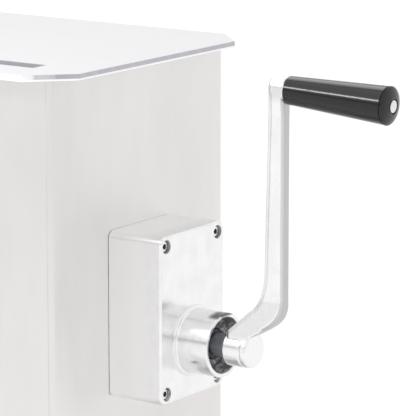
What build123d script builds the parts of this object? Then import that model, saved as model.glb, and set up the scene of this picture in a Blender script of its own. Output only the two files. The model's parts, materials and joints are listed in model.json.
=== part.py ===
from build123d import *
from math import acos, cos, pi, radians, sin, sqrt, tan
import os

# Hand-crank meat mixer. Millimetres, +Z up, standing on Z = 0.
# The crank is on the +X end, the shafts run along X, and the body is centred on Y = 0.
# The origin is the bottom centre of the bounding box.

# ---- driving dimensions ----
body_length = 330.0  # between the outer faces of the two end panels
body_width = 225.0
rim_height = 436.0  # underside of the lid
sheet = 1.5  # outer panels and trough ends
corner_radius = 4.0
foot_height = 12.0

# trough
trough_radius = 108.5  # outside of the U
trough_sheet = 1.2
end_gap = 12.0  # between an end panel and the trough's end wall
arch_height = 90.0
arch_radius = 25.0
leg_width = 40.0

# lid
lid_thickness = 5.0
lid_overhang = 19.0
lid_clip = 30.0
lid_gap = 0.3
slot_end = 27.0  # from an end panel's face to the end of the slot
slot_y = (-98.0, -80.5)

# gear train
module = 2.0
pinion_teeth = 15
gear_teeth = 30
pressure_angle = 20.0
flank_thinning = 0.12
axis_drop = 212.0  # crank axis below the lid's underside
input_radius = 9.2
journal_radius = 7.0
output_radius = 10.0
running_gap = 0.05

# gear housing, measured out from the end panel's face
housing_depth = 49.0
housing_width = 84.0
housing_top_drop = 125.0
housing_bottom_drop = 256.0
housing_wall = 6.0
housing_front = 7.0
housing_corner = 6.0
screw_inset = 8.0
screw_radius = 2.5
screw_head = 5.0
head_recess = 2.2  # how deep the screws' heads lie below the housing's face
gasket_thickness = 0.8
bush_radius = 13.0
inner_bush_radius = 11.0
output_bush_radius = 15.0
backing_thickness = 5.0
boss_radius = 25.0
boss_length = 30.0
recess_radius = 21.8
recess_depth = 15.0

# crank, X measured out from the end panel's face
crank_radius = 202.3
hub_start = 85.2
hub_groove = 100.2
hub_end_x = 106.8
hub_radius = 14.4
hub_round = 3.5  # rounding of the hub's outer rim
hub_cap = 3.5  # closed outer end of the hub's bore
arm_width = 11.2
arm_inner_x = 117.6
arm_outer_x = 134.3
arm_top_x = 121.2
eye_radius = 9.0
root_angle = 37.0  # where the tapered root leaves the hub, up from the level of the axis
root_slope = 10.0  # how far each side of the root leans in, in degrees

# grip
grip_start = 136.0
grip_groove = 219.2
grip_end = 223.8
grip_small = 10.7
grip_large = 14.6
grip_lean = 3.0  # degrees the grip's axis dips away from the arm
grip_yaw = 2.5  # degrees it turns towards the back
spindle_radius = 4.0
rivet_radius = 4.7

# mixing shaft
paddle_reach = 101.0
paddle_shaft_radius = 13.0
blade_count = 4
blade_pitch = 66.0
tail_pin_radius = 6.0

# ---- derived places ----
knob_reach = 30.0  # how far the tail knob stands out from the far end panel
rivet_end = grip_end + 0.5 - arm_outer_x  # the rivet's face, along the grip's axis
straightness = cos(radians(grip_lean)) * cos(radians(grip_yaw))  # X part of the grip's axis
right_reach = arm_outer_x + rivet_end * straightness + rivet_radius * sqrt(1 - straightness**2)
x_end = (body_length + knob_reach - right_reach) / 2
x_far = x_end - body_length
x_mid = (x_end + x_far) / 2
half_width = body_width / 2
inner_half = half_width - sheet
rim_top = rim_height - lid_gap
centre_distance = module * (pinion_teeth + gear_teeth) / 2
z_crank = rim_height - axis_drop
z_paddle = z_crank + centre_distance
z_grip = z_crank + crank_radius
trough_end = sheet + end_gap  # outer face of a trough end wall, in from the end panel's face
trough_inset = trough_end + sheet
x_trough = (x_far + trough_inset, x_end - trough_inset)
housing_top = rim_height - housing_top_drop
housing_bottom = rim_height - housing_bottom_drop
screw_y = housing_width / 2 - screw_inset
screw_places = [
    (y, z)
    for y in (-screw_y, screw_y)
    for z in (housing_bottom + screw_inset, housing_top - screw_inset)
]
backing_end = x_end - sheet - backing_thickness
foot_x = (x_far + 18.0, x_end - 18.0)
foot_y = 92.0

os.makedirs("parts", exist_ok=True)


# ---- helpers ----
def rod(x0, x1, radius, y=0.0, z=0.0):
    """A round bar along X."""
    bar = Cylinder(radius, x1 - x0, align=(Align.CENTER, Align.CENTER, Align.MIN))
    return Pos(x0, y, z) * Rot(0, 90, 0) * bar


def block(x0, x1, y0, y1, z0, z1):
    """A box between two corners."""
    low = (Align.MIN, Align.MIN, Align.MIN)
    return Pos(x0, y0, z0) * Box(x1 - x0, y1 - y0, z1 - z0, align=low)


def ring(x0, x1, outer, inner, y=0.0, z=0.0):
    """A round sleeve along X."""
    return rod(x0, x1, outer, y, z) - rod(x0 - 1, x1 + 1, inner, y, z)


def hexagon(x0, x1, across_flats, y, z):
    """A hexagonal bar along X."""
    outline = Plane.YZ.offset(x0) * Pos(y, z) * RegularPolygon(across_flats / 2, 6, major_radius=False)
    return extrude(outline, x1 - x0)


def save(shape, name):
    """Write one node."""
    export_step(shape, f"parts/{name}.step")


def together(shapes):
    """Like pieces that share one node."""
    return Compound(children=list(shapes))


def from_end(distance):
    """X of a plane that far out from the crank-side end panel's face."""
    return x_end + distance


# ---- outer panels ----
def outer_wall():
    """The four panels as one rounded tube, before it is divided."""
    height = rim_top - foot_height
    base = Plane.XY.offset(foot_height) * Pos(x_mid, 0)
    outside = base * RectangleRounded(body_length, body_width, corner_radius)
    inside = base * RectangleRounded(
        body_length - 2 * sheet, body_width - 2 * sheet, corner_radius - sheet
    )
    return extrude(outside - inside, height)


def arch(width, plane):
    """A tall round-cornered opening up from the floor."""
    outline = plane * RectangleRounded(width, 2 * arch_height, arch_radius)
    return extrude(outline, body_length, both=True)


def end_panel(side):
    """One end panel with its rim hem and foot flanges; side is +1 at the crank."""
    face = x_end if side > 0 else x_far
    inner = face - side * sheet
    bend = face - side * corner_radius
    beyond = face + side
    low, high = sorted((bend, beyond))
    panel = outer_wall() & block(low, high, -half_width, half_width, 0, rim_height)
    low, high = sorted((inner, face - side * trough_inset))
    panel += block(low, high, -inner_half, inner_half, rim_top - sheet, rim_top)
    low, high = sorted((inner, face - side * 33.0))
    for y0, y1 in ((-inner_half, -inner_half + leg_width), (inner_half - leg_width, inner_half)):
        flange = block(low, high, y0, y1, foot_height, foot_height + sheet)
        panel += flange
    panel -= arch(body_width - 2 * leg_width - 2 * sheet, Plane.YZ)
    for y in (-foot_y, foot_y):
        x = foot_x[1] if side > 0 else foot_x[0]
        panel -= Pos(x, y, foot_height) * Cylinder(3.0, 10)
    return panel


def side_panel(side):
    """Front (side -1) or back panel, between the rounded corners."""
    y0, y1 = sorted((side * inner_half, side * half_width))
    panel = block(x_far + corner_radius, x_end - corner_radius, y0, y1, foot_height, rim_top)
    opening = arch(body_length - 2 * leg_width - 40.0, Plane.XZ)
    return panel - Pos(x_mid, 0, 0) * opening


right_panel = end_panel(1)
right_panel -= rod(x_end - 5, x_end + 1, 11.0, 0, z_crank)
right_panel -= rod(x_end - 5, x_end + 1, 15.0, 0, z_paddle)
for y, z in screw_places:
    right_panel -= rod(x_end - 5, x_end + 1, 2.75, y, z)
save(right_panel, "right_end_panel")

left_panel = end_panel(-1)
left_panel -= rod(x_far - 1, x_far + 5, 12.0, 0, z_paddle)
save(left_panel, "left_end_panel")
save(side_panel(-1), "front_panel")
save(side_panel(1), "back_panel")


# ---- trough ----
def trough_outline(radius):
    """A U: straight walls down to a half circle round the paddle axis."""
    top = rim_top - z_paddle
    half = Pos(0, top / 2) * Rectangle(2 * radius, top)
    return Plane.YZ * Pos(0, z_paddle) * (Circle(radius) + half)


def trough_shell():
    """The U-shaped sheet with a narrow flange along each top edge."""
    length = x_trough[1] - x_trough[0]
    outside = extrude(trough_outline(trough_radius), length)
    inside = extrude(trough_outline(trough_radius - trough_sheet), length)
    shell = Pos(x_trough[0], 0, 0) * (outside - inside)
    for side in (-1, 1):
        y0, y1 = sorted((side * (trough_radius - 0.6), side * inner_half))
        shell += block(*x_trough, y0, y1, rim_top - trough_sheet, rim_top)
    return shell


def trough_wall(x0, hole_radius):
    """A flat end wall that closes the U, with the shaft's hole."""
    wall = Pos(x0, 0, 0) * extrude(trough_outline(trough_radius), sheet)
    above = block(x0 - 1, x0 + sheet + 1, -half_width, half_width, rim_top - sheet, rim_height)
    return wall - above - rod(x0 - 1, x0 + sheet + 1, hole_radius, 0, z_paddle)


save(trough_shell(), "trough_shell")
save(trough_wall(x_trough[1], 13.0), "trough_end_right")
save(trough_wall(x_far + trough_end, 12.0), "trough_end_left")

# ---- feet ----
foot_profile = [(3.0, 4.0), (3.0, foot_height), (15.0, foot_height), (13.0, 0), (6.0, 0), (6.0, 4.0)]
foot_shape = revolve(Plane.XZ * make_face(Polyline(*foot_profile, close=True)), Axis.Z)
foot_screws = []
foot_nuts = []
for x, x_name in zip(foot_x, ("left", "right")):
    for y, y_name in ((-foot_y, "front"), (foot_y, "back")):
        place = Pos(x, y, 0)
        save(place * foot_shape, f"foot_{y_name}_{x_name}")
        upright = (Align.CENTER, Align.CENTER, Align.MIN)
        shank = Pos(0, 0, 4.0) * Cylinder(2.95, 18.0, align=upright)
        head = Pos(0, 0, 1.5) * Cylinder(5.2, 2.5, align=upright)
        foot_screws.append(place * (shank + head))
        nut = extrude(RegularPolygon(5.0, 6, major_radius=False), 5.0) - Cylinder(2.95, 20)
        foot_nuts.append(place * Pos(0, 0, foot_height + sheet) * nut)
save(together(foot_screws), "foot_screws")
save(together(foot_nuts), "foot_nuts")


# ---- gear housing and what holds it ----
def housing_outline(distance, inset, radius):
    """The housing's rectangle, drawn in by inset, at a distance out from the end panel."""
    height = housing_top - housing_bottom
    middle = (housing_top + housing_bottom) / 2
    shape = RectangleRounded(housing_width - 2 * inset, height - 2 * inset, radius)
    return Plane.YZ.offset(from_end(distance)) * Pos(0, middle) * shape


def gear_housing():
    """Cast box, open towards the panel, with four screw columns and the round boss."""
    box = extrude(housing_outline(gasket_thickness, 0, housing_corner), housing_depth - gasket_thickness)
    cavity = extrude(
        housing_outline(gasket_thickness, housing_wall, 3.0),
        housing_depth - housing_front - gasket_thickness,
    )
    for y, z in screw_places:
        cavity -= block(x_end, from_end(housing_depth), y - 8, y + 8, z - 8, z + 8)
    box -= cavity
    face = from_end(housing_depth)
    boss_end = face + boss_length
    box += rod(face - 1, boss_end, boss_radius, 0, z_crank)
    box += rod(face - 1, face + 2.5, boss_radius + 2.5, 0, z_crank)
    box -= rod(boss_end - recess_depth, boss_end + 1, recess_radius, 0, z_crank)
    box -= rod(face - housing_front - 1, boss_end, bush_radius, 0, z_crank)
    for y, z in screw_places:
        box -= rod(x_end, face + 1, screw_radius + 0.25, y, z)
        box -= rod(face - head_recess - screw_head, face + 1, 5.1, y, z)
    return box


def gasket():
    """Thin seal between the housing's rim and the panel."""
    outside = extrude(housing_outline(0, 1.0, housing_corner - 1), gasket_thickness)
    inside = extrude(housing_outline(0, housing_wall, 3.0), gasket_thickness)
    for y, z in screw_places:
        inside -= block(x_end, from_end(2), y - 8, y + 8, z - 8, z + 8)
    seal = outside - inside
    for y, z in screw_places:
        seal -= rod(x_end - 1, from_end(2), screw_radius + 0.25, y, z)
    return seal


def socket_screw(y, z):
    """M5 cap screw whose head lies in a counterbore of the housing's face."""
    head_end = from_end(housing_depth - head_recess)
    screw = rod(from_end(-12.0), head_end - 1.0, screw_radius, y, z)
    screw += rod(head_end - screw_head, head_end, 4.25, y, z)
    return screw - hexagon(head_end - 2.5, head_end + 1, 4.0, y, z)


def housing_nut(y, z):
    """M5 nut behind the backing plate."""
    nut = hexagon(backing_end - 4.0, backing_end, 8.0, y, z)
    return nut - rod(backing_end - 5, backing_end + 1, screw_radius, y, z)


def backing_plate():
    """Thick plate inside the end panel that carries the inner bushes and the screws."""
    plate = block(backing_end, x_end - sheet, -42, 42, housing_bottom + 3, housing_top - 3)
    plate -= rod(backing_end - 1, x_end, inner_bush_radius, 0, z_crank)
    plate -= rod(backing_end - 1, x_end, output_bush_radius, 0, z_paddle)
    for y, z in screw_places:
        plate -= rod(backing_end - 1, x_end, screw_radius + 0.25, y, z)
    return plate


def flanged_bush(radius, flange_radius, bore, z):
    """A bush pressed into the backing plate, with its flange inside the housing."""
    body = rod(backing_end, x_end, radius, 0, z) + rod(x_end, from_end(4.0), flange_radius, 0, z)
    return body - rod(backing_end - 1, from_end(5), bore, 0, z)


save(gear_housing(), "gear_housing")
save(gasket(), "housing_gasket")
save(together(socket_screw(y, z) for y, z in screw_places), "housing_screws")
save(together(housing_nut(y, z) for y, z in screw_places), "housing_nuts")
save(backing_plate(), "backing_plate")
bore = journal_radius + running_gap
save(flanged_bush(inner_bush_radius, 14.0, bore, z_crank), "input_inner_bush")
bore = output_radius + running_gap
save(flanged_bush(output_bush_radius, 18.0, bore, z_paddle), "output_bush")
bush_ends = (from_end(housing_depth - housing_front), from_end(housing_depth + boss_length - recess_depth))
save(ring(*bush_ends, bush_radius, input_radius + running_gap, 0, z_crank), "input_outer_bush")
seal_start = bush_ends[1]
save(ring(seal_start, seal_start + 7.0, 12.4, input_radius + running_gap, 0, z_crank), "input_seal")
output_seal = rod(x_trough[1] - 5, x_trough[1], 17.0, 0, z_paddle)
output_seal += rod(x_trough[1], x_trough[1] + sheet, 13.0, 0, z_paddle)
output_seal -= rod(x_trough[1] - 6, x_end, output_radius + running_gap, 0, z_paddle)
save(output_seal, "output_seal")


# ---- gears ----
def gear_outline(teeth, turn):
    """Involute spur gear with standard teeth; turn is the angle of one tooth's middle in degrees."""
    alpha = radians(pressure_angle)
    pitch = module * teeth / 2
    base = pitch * cos(alpha)
    tip = pitch + module
    root = pitch - 1.25 * module
    half_tooth = pi / (2 * teeth) - flank_thinning / pitch

    def half_angle(radius):
        roll = acos(base / radius)
        return half_tooth + (tan(alpha) - alpha) - (tan(roll) - roll)

    def at(radius, angle):
        return (radius * cos(angle), radius * sin(angle))

    flank_radii = [base + (tip - base) * step / 4 for step in range(5)]
    foot = half_angle(base)
    edges = []
    for tooth in range(teeth):
        middle = radians(turn) + 2 * pi * tooth / teeth
        rise = [at(radius, middle - half_angle(radius)) for radius in flank_radii]
        fall = [at(radius, middle + half_angle(radius)) for radius in reversed(flank_radii)]
        gap_middle = middle + pi / teeth
        gap_end = middle + 2 * pi / teeth - foot
        edges.append(Line(at(root, middle - foot), rise[0]))
        edges.append(Spline(*rise))
        edges.append(ThreePointArc(rise[-1], at(tip, middle), fall[0]))
        edges.append(Spline(*fall))
        edges.append(Line(fall[-1], at(root, middle + foot)))
        edges.append(ThreePointArc(at(root, middle + foot), at(root, gap_middle), at(root, gap_end)))
    return make_face(edges)


def spur_gear(teeth, turn, x0, x1, z):
    """A gear between two X planes, turning about the shaft at height z."""
    return extrude(Plane.YZ.offset(x0) * Pos(0, z) * gear_outline(teeth, turn), x1 - x0)


def key_block(x0, x1, width, z0, z1):
    """A square key on top of a shaft."""
    return block(x0, x1, -width / 2, width / 2, z0, z1)


def retaining_ring(x0, outer, groove, z):
    """An open snap ring, 1.5 mm thick."""
    whole = ring(x0, x0 + 1.5, outer, groove, 0, z)
    return whole - block(x0 - 1, x0 + 2.5, -3, 3, z - outer - 1, z)


def groove_cut(x0, radius, groove, z):
    """What a snap ring's groove takes off its shaft."""
    return ring(x0, x0 + 1.5, radius + 1, groove, 0, z)


# ---- crank body ----
hub_end = from_end(hub_end_x)
pinion_key = key_block(from_end(12), from_end(27), 5.0, z_crank + 4.5, z_crank + 9.0)
pinion = spur_gear(pinion_teeth, 90.0, from_end(11), from_end(29), z_crank)
pinion += rod(from_end(4.6), from_end(11), 11.0, 0, z_crank)
pinion -= rod(from_end(4), from_end(30), journal_radius, 0, z_crank)
input_shaft = rod(from_end(-5), from_end(29), journal_radius, 0, z_crank)
input_shaft += rod(from_end(29), hub_end - hub_cap, input_radius, 0, z_crank)
input_shaft -= groove_cut(from_end(39.5), input_radius, 8.4, z_crank)

lock_x = from_end(93.2)
lock_tip = 8.0
lock_length = hub_radius - 0.2 - lock_tip
low_end = (Align.CENTER, Align.CENTER, Align.MIN)
lock_screw = Rot(-90, 0, 0) * Pos(0, 0, lock_tip) * Cylinder(2.5, lock_length, align=low_end)
lock_screw = Pos(lock_x, 0, z_crank) * lock_screw
input_shaft -= lock_screw
slot = block(lock_x - 3, lock_x + 3, hub_radius - 1.4, hub_radius, z_crank - 0.5, z_crank + 0.5)

save(pinion_key, "pinion_key")
save(pinion - pinion_key, "pinion")
save(input_shaft - pinion_key, "input_shaft")
save(retaining_ring(from_end(39.5), 12.0, 8.4, z_crank), "input_retaining_ring")
save(lock_screw - slot, "hub_lock_screw")


def arm_outline():
    """Side view of the crank: out from the hub, round the dog-leg and straight up to the eye."""
    inner = arm_inner_x
    outer = arm_outer_x
    edges = [
        Line((hub_start, -4), (hub_start, 13.3)),
        Line((hub_start, 13.3), (104.8, 30.6)),
        ThreePointArc((104.8, 30.6), (113.4, 41.4), (inner, 60.0)),
        Line((inner, 60.0), (arm_top_x, crank_radius)),
        Line((arm_top_x, crank_radius), (outer, crank_radius)),
        Line((outer, crank_radius), (outer, 43.0)),
        ThreePointArc((outer, 43.0), (130.4, 27.7), (116.9, 16.9)),
        Line((116.9, 16.9), (hub_end_x, 11.0)),
        Line((hub_end_x, 11.0), (hub_end_x, -4)),
        Line((hub_end_x, -4), (hub_start, -4)),
    ]
    return Plane.XZ * Pos(x_end, z_crank) * make_face(edges)


def arm_front():
    """End view of the crank's arm: tangent to the hub, narrowing to the straight bar."""
    half = arm_width / 2
    touch_y = hub_radius * cos(radians(root_angle))
    touch_z = hub_radius * sin(radians(root_angle))
    neck_z = touch_z + (touch_y - half) / tan(radians(root_slope))
    points = [(touch_y, touch_z), (half, neck_z), (half, crank_radius)]
    mirrored = [(-y, z) for y, z in reversed(points)]
    outline = make_face(Polyline(points + mirrored, close=True)) + Circle(hub_radius)
    return Plane.YZ * Pos(0, z_crank) * outline


def hub():
    """Round hub with a shallow groove and a rounded outer rim."""
    rim = hub_end_x - hub_round
    turn = hub_round * (1 - cos(pi / 4))
    edges = [
        Line((hub_start, 0), (hub_start, hub_radius)),
        Line((hub_start, hub_radius), (hub_groove, hub_radius)),
        Line((hub_groove, hub_radius), (hub_groove + 0.5, hub_radius - 0.5)),
        Line((hub_groove + 0.5, hub_radius - 0.5), (hub_groove + 1.0, hub_radius)),
        Line((hub_groove + 1.0, hub_radius), (rim, hub_radius)),
        ThreePointArc(
            (rim, hub_radius),
            (hub_end_x - turn, hub_radius - turn),
            (hub_end_x, hub_radius - hub_round),
        ),
        Line((hub_end_x, hub_radius - hub_round), (hub_end_x, 0)),
        Line((hub_end_x, 0), (hub_start, 0)),
    ]
    return Pos(x_end, 0, z_crank) * revolve(Plane.XZ * make_face(edges), Axis.X)


# the grip's pieces are made along X from the arm's outer face, then leaned
leaning = Pos(from_end(arm_outer_x), 0, z_grip) * Rot(0, 0, grip_yaw) * Rot(0, grip_lean, 0)
eye_start = arm_top_x - arm_outer_x
seat_x = grip_end - 3.5 - arm_outer_x
washer_end = grip_start - 0.3 - arm_outer_x


def crank_arm():
    """Cast arm with a round hub below and a round eye above."""
    arm = extrude(arm_outline(), hub_radius, both=True)
    arm &= Pos(from_end(0), 0, 0) * extrude(arm_front(), 2 * arm_outer_x, both=True)
    arm += hub()
    arm += leaning * rod(eye_start, 0, eye_radius)
    arm -= leaning * rod(0, 3, eye_radius + 0.5)
    arm -= rod(from_end(hub_start - 1), hub_end - hub_cap, input_radius, 0, z_crank)
    arm -= leaning * rod(eye_start - 2, 1, spindle_radius)
    return arm - lock_screw


save(crank_arm(), "crank_arm")
spindle = rod(eye_start, seat_x + 0.3, spindle_radius) + rod(seat_x + 0.3, rivet_end, rivet_radius)
save(leaning * spindle, "grip_spindle")
save(leaning * ring(0, washer_end, 7.5, spindle_radius), "grip_washer")


# ---- grip body ----
def grip():
    """Tapered handle with a groove, a rounded bead and a recess for the rivet's head."""
    bore = spindle_radius + running_gap
    start = grip_start - arm_outer_x
    end = grip_end - arm_outer_x
    groove = grip_groove - arm_outer_x
    mouth = rivet_radius + 0.5
    edges = [
        Line((start, bore), (start, grip_small - 0.6)),
        Line((start, grip_small - 0.6), (start + 0.6, grip_small)),
        Line((start + 0.6, grip_small), (groove - 0.6, grip_large - 0.2)),
        Line((groove - 0.6, grip_large - 0.2), (groove, grip_large - 1.0)),
        Line((groove, grip_large - 1.0), (groove + 0.5, grip_large)),
        Line((groove + 0.5, grip_large), (groove + 1.0, grip_large)),
        ThreePointArc(
            (groove + 1.0, grip_large),
            (groove + 2.9, grip_large - 2.4),
            (end, rivet_radius + 2.2),
        ),
        Line((end, rivet_radius + 2.2), (end - 0.4, mouth)),
        Line((end - 0.4, mouth), (seat_x, mouth)),
        Line((seat_x, mouth), (seat_x, bore)),
        Line((seat_x, bore), (start, bore)),
    ]
    return leaning * revolve(Plane.XZ * make_face(edges), Axis.X)


save(grip(), "grip")

# ---- paddle body ----
gear_key = key_block(from_end(13), from_end(27), 6.0, z_paddle + 7.0, z_paddle + 13.0)
gear_turn = -90.0 + 180.0 / gear_teeth
driven_gear = spur_gear(gear_teeth, gear_turn, from_end(12), from_end(28), z_paddle)
driven_gear += rod(from_end(4.6), from_end(12), 15.0, 0, z_paddle)
driven_gear -= rod(from_end(4), from_end(29), output_radius, 0, z_paddle)
tang_start = from_end(-24.0)
tang_end = tang_start - 14.0
tang = block(tang_end, tang_start, -6.5, 6.5, z_paddle - 6.5, z_paddle + 6.5)
output_shaft = rod(tang_start, from_end(31), output_radius, 0, z_paddle) + tang
output_shaft -= groove_cut(from_end(28.2), output_radius, 9.2, z_paddle)
save(gear_key, "gear_key")
save(driven_gear - gear_key, "driven_gear")
save(output_shaft - gear_key, "output_shaft")
save(retaining_ring(from_end(28.2), 13.5, 9.2, z_paddle), "output_retaining_ring")

shaft_start = x_trough[0] + 1.0
paddle_shaft = rod(shaft_start, tang_start, paddle_shaft_radius, 0, z_paddle)
paddle_shaft -= tang
pin_bore = tail_pin_radius + running_gap
paddle_shaft -= rod(shaft_start - 1, shaft_start + 22.0, pin_bore, 0, z_paddle)
save(paddle_shaft, "paddle_shaft")


def mixing_blade(x, turn):
    """A radial arm with a slanted plate at its end, welded to the shaft."""
    arm = block(-3, 3, -9, 9, 6, 72) - rod(-5, 5, paddle_shaft_radius)
    plate = Pos(0, 0, paddle_reach - 22.5) * Rot(0, 0, 35) * Box(50, 4, 45)
    return Pos(x, 0, z_paddle) * Rot(turn, 0, 0) * (arm + plate)


x_blades = (x_trough[0] + x_trough[1]) / 2
for number in range(blade_count):
    x = x_blades + (number - (blade_count - 1) / 2) * blade_pitch
    save(mixing_blade(x, 45 + 90 * number), f"mixing_blade_{number + 1}")

# ---- tail pin ----
bush_bore = tail_pin_radius + running_gap
tail_bush = rod(x_far, x_trough[0], 12.0, 0, z_paddle) + rod(x_far - 4, x_far, 17.0, 0, z_paddle)
save(tail_bush - rod(x_far - 5, x_trough[0] + 1, bush_bore, 0, z_paddle), "tail_bush")
tail_pin = rod(x_far - 24.0, shaft_start + 20.0, tail_pin_radius, 0, z_paddle)
save(tail_pin, "tail_pin")
knob = rod(x_far - knob_reach, x_far - 12, 16.0, 0, z_paddle)
knob += rod(x_far - 12, x_far - 5, 9.0, 0, z_paddle)
save(knob - tail_pin, "tail_knob")


# ---- lid ----
def lid():
    """Clear plate with clipped corners and one slot along its front edge."""
    size = (body_length + 2 * lid_overhang, body_width + 2 * lid_overhang)
    plate = Rectangle(*size)
    plate = chamfer(plate.vertices(), lid_clip)
    slot_shape = block(x_far + slot_end, x_end - slot_end, *slot_y, rim_height - 1, rim_height + 10)
    return Pos(x_mid, 0, rim_height) * extrude(plate, lid_thickness) - slot_shape


def lid_strip(side):
    """Bar under the lid that keeps it over the trough's mouth."""
    y0, y1 = sorted((side * 101.0, side * 106.0))
    return block(x_trough[0] + 10, x_trough[1] - 10, y0, y1, rim_height - 7.0, rim_height)


save(lid(), "lid")
save(together(lid_strip(side) for side in (-1, 1)), "lid_strips")
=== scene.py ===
import json
import math

import bmesh
import bpy
from bpy.props import FloatProperty, FloatVectorProperty, IntProperty, PointerProperty
from mathutils import Matrix, Vector


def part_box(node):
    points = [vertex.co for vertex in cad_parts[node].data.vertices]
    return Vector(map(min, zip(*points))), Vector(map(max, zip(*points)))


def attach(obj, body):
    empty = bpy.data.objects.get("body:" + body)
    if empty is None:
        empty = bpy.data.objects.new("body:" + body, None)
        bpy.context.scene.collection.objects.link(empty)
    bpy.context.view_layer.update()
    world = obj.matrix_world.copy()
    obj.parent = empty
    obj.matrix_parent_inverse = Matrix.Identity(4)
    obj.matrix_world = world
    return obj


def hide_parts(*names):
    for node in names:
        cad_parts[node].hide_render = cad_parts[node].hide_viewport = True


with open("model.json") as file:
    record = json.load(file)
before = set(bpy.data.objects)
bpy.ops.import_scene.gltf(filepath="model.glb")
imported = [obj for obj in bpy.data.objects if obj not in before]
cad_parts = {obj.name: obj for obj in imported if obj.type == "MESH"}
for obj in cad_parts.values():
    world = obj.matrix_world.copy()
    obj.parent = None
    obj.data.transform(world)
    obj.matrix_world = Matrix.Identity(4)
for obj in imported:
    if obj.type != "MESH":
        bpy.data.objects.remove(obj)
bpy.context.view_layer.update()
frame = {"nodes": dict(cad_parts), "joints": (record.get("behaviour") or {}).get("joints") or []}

bl_info = {
    "name": "Hand Crank Meat Mixer",
    "version": (1, 0, 0),
    "blender": (4, 5, 0),
    "location": "View3D > Sidebar > Mixer",
    "description": "Builds the finished surfaces of a hand crank meat mixer on its packed model",
    "category": "Object",
}

MM = 0.001
JOINTS = {joint["name"]: joint for joint in frame["joints"]}
CRANK_Z = JOINTS["crank_spin"]["pos_m"][2]
GRIP_START = Vector(JOINTS["grip_spin"]["pos_m"])
GRIP_AXIS = Vector(JOINTS["grip_spin"]["axis"])
PADDLE_Z = JOINTS["paddle_spin"]["pos_m"][2]
PANEL_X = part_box("right_end_panel")[1].x
TAIL_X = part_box("left_end_panel")[0].x
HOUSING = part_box("gear_housing")
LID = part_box("lid")
FULL_TURN = 2 * math.pi

# The crank's profile, in mm out from the end panel: its hub, and the arm's outer side.
HUB_START = 85.2
HUB_GROOVE = 100.7
HUB_END = 106.8
ARM_OUTER = 134.3
CRANK_RADIUS = 202.3
ROOT_ANGLE = math.radians(37)
ROOT_SLOPE = math.radians(10)

# The grip, in metres along its axis from the arm.
GRIP_GROOVE = 83.2 * MM
GRIP_END = 87.8 * MM
GRIP_BORE = 4.05 * MM
SPINDLE_SEAT = 84.6 * MM
SPINDLE_END = 88.3 * MM
RIVET_RADIUS = 4.7 * MM

# The housing's cap screws.
SCREW_RADIUS = 4.25 * MM
SCREW_HEAD = 5 * MM
SHANK_RADIUS = 2.5 * MM
SOCKET_RADIUS = 2.31 * MM
COUNTERBORE_RADIUS = 5.1 * MM


# ---- settings ----
def length_setting(name, description, default):
    """A length in metres that a user would change."""
    return FloatProperty(name=name, description=description, default=default, unit="LENGTH")


def colour_setting(name, description, default):
    """A base colour that a user would change."""
    return FloatVectorProperty(
        name=name, description=description, subtype="COLOR", size=3, default=default
    )


class MixerSizes(bpy.types.PropertyGroup):
    """Sizes of the visible pieces that the frame doesn't give."""

    edge: length_setting("Edge", "Rounding of machined edges", 0.4 * MM)
    housing_corner: length_setting(
        "Housing Corner", "Radius of the gear housing's long edges", 6 * MM
    )
    boss_length: length_setting("Boss Length", "How far the boss stands out", 30 * MM)
    boss_radius: length_setting("Boss Radius", "Outside of the round boss", 25 * MM)
    recess_radius: length_setting("Recess Radius", "Bore of the boss at its mouth", 21.8 * MM)
    recess_depth: length_setting("Recess Depth", "Depth of the bore down to the seal", 15 * MM)
    screw_inset: length_setting("Screw Inset", "From the housing's sides to its screws", 8 * MM)
    head_recess: length_setting("Head Recess", "How deep the housing's screw heads lie", 2.2 * MM)
    hub_radius: length_setting("Hub Radius", "Round hub of the crank", 14.4 * MM)
    arm_width: length_setting("Arm Width", "Crank arm across its narrow side", 11.2 * MM)
    arm_chamfer: length_setting(
        "Arm Chamfer", "Cut corners along the outside of the crank arm", 2.3 * MM
    )
    eye_radius: length_setting("Eye Radius", "Half the height of the arm's oval top end", 9.0 * MM)
    grip_small: length_setting("Grip Small End", "Radius of the grip at the arm", 10.7 * MM)
    grip_large: length_setting("Grip Large End", "Radius of the grip at its end", 14.6 * MM)
    lathe_steps: IntProperty(name="Lathe Steps", description="Facets of a turned piece", default=96)


class MixerColours(bpy.types.PropertyGroup):
    """Base colours of the finishes."""

    sheet: colour_setting("Sheet", "Satin stainless sheet", (0.765, 0.747, 0.737))
    cast: colour_setting("Cast", "Polished cast aluminium", (0.88, 0.88, 0.885))
    grip: colour_setting("Grip", "Glossy black plastic", (0.004, 0.004, 0.0055))
    lid: colour_setting("Lid", "Clear acrylic sheet", (0.61, 0.6, 0.62))
    # The lid edge's lilac is painted light, the look of light refracted through the acrylic.
    lid_edge: colour_setting("Lid Edge", "Cut edge of the acrylic", (0.47, 0.44, 0.53))
    floor: colour_setting("Floor", "Pale studio floor", (0.9, 0.9, 0.9))


class MixerView(bpy.types.PropertyGroup):
    """Where the main camera stands."""

    azimuth: FloatProperty(
        name="Azimuth",
        description="Turn of the camera from the front towards the crank",
        default=math.radians(34.57),
        subtype="ANGLE",
    )
    elevation: FloatProperty(
        name="Elevation",
        description="Camera's angle above the horizon",
        default=math.radians(11.5),
        subtype="ANGLE",
    )
    distance: length_setting("Distance", "From the camera to its target", 2.2)
    target_x: length_setting("Target X", "Aim, out from the end panel", 63.25 * MM)
    target_z: length_setting("Target Z", "Aim, up from the lid's underside", -106.93 * MM)
    lens: FloatProperty(name="Lens", description="Focal length in millimetres", default=251.0)


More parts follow.
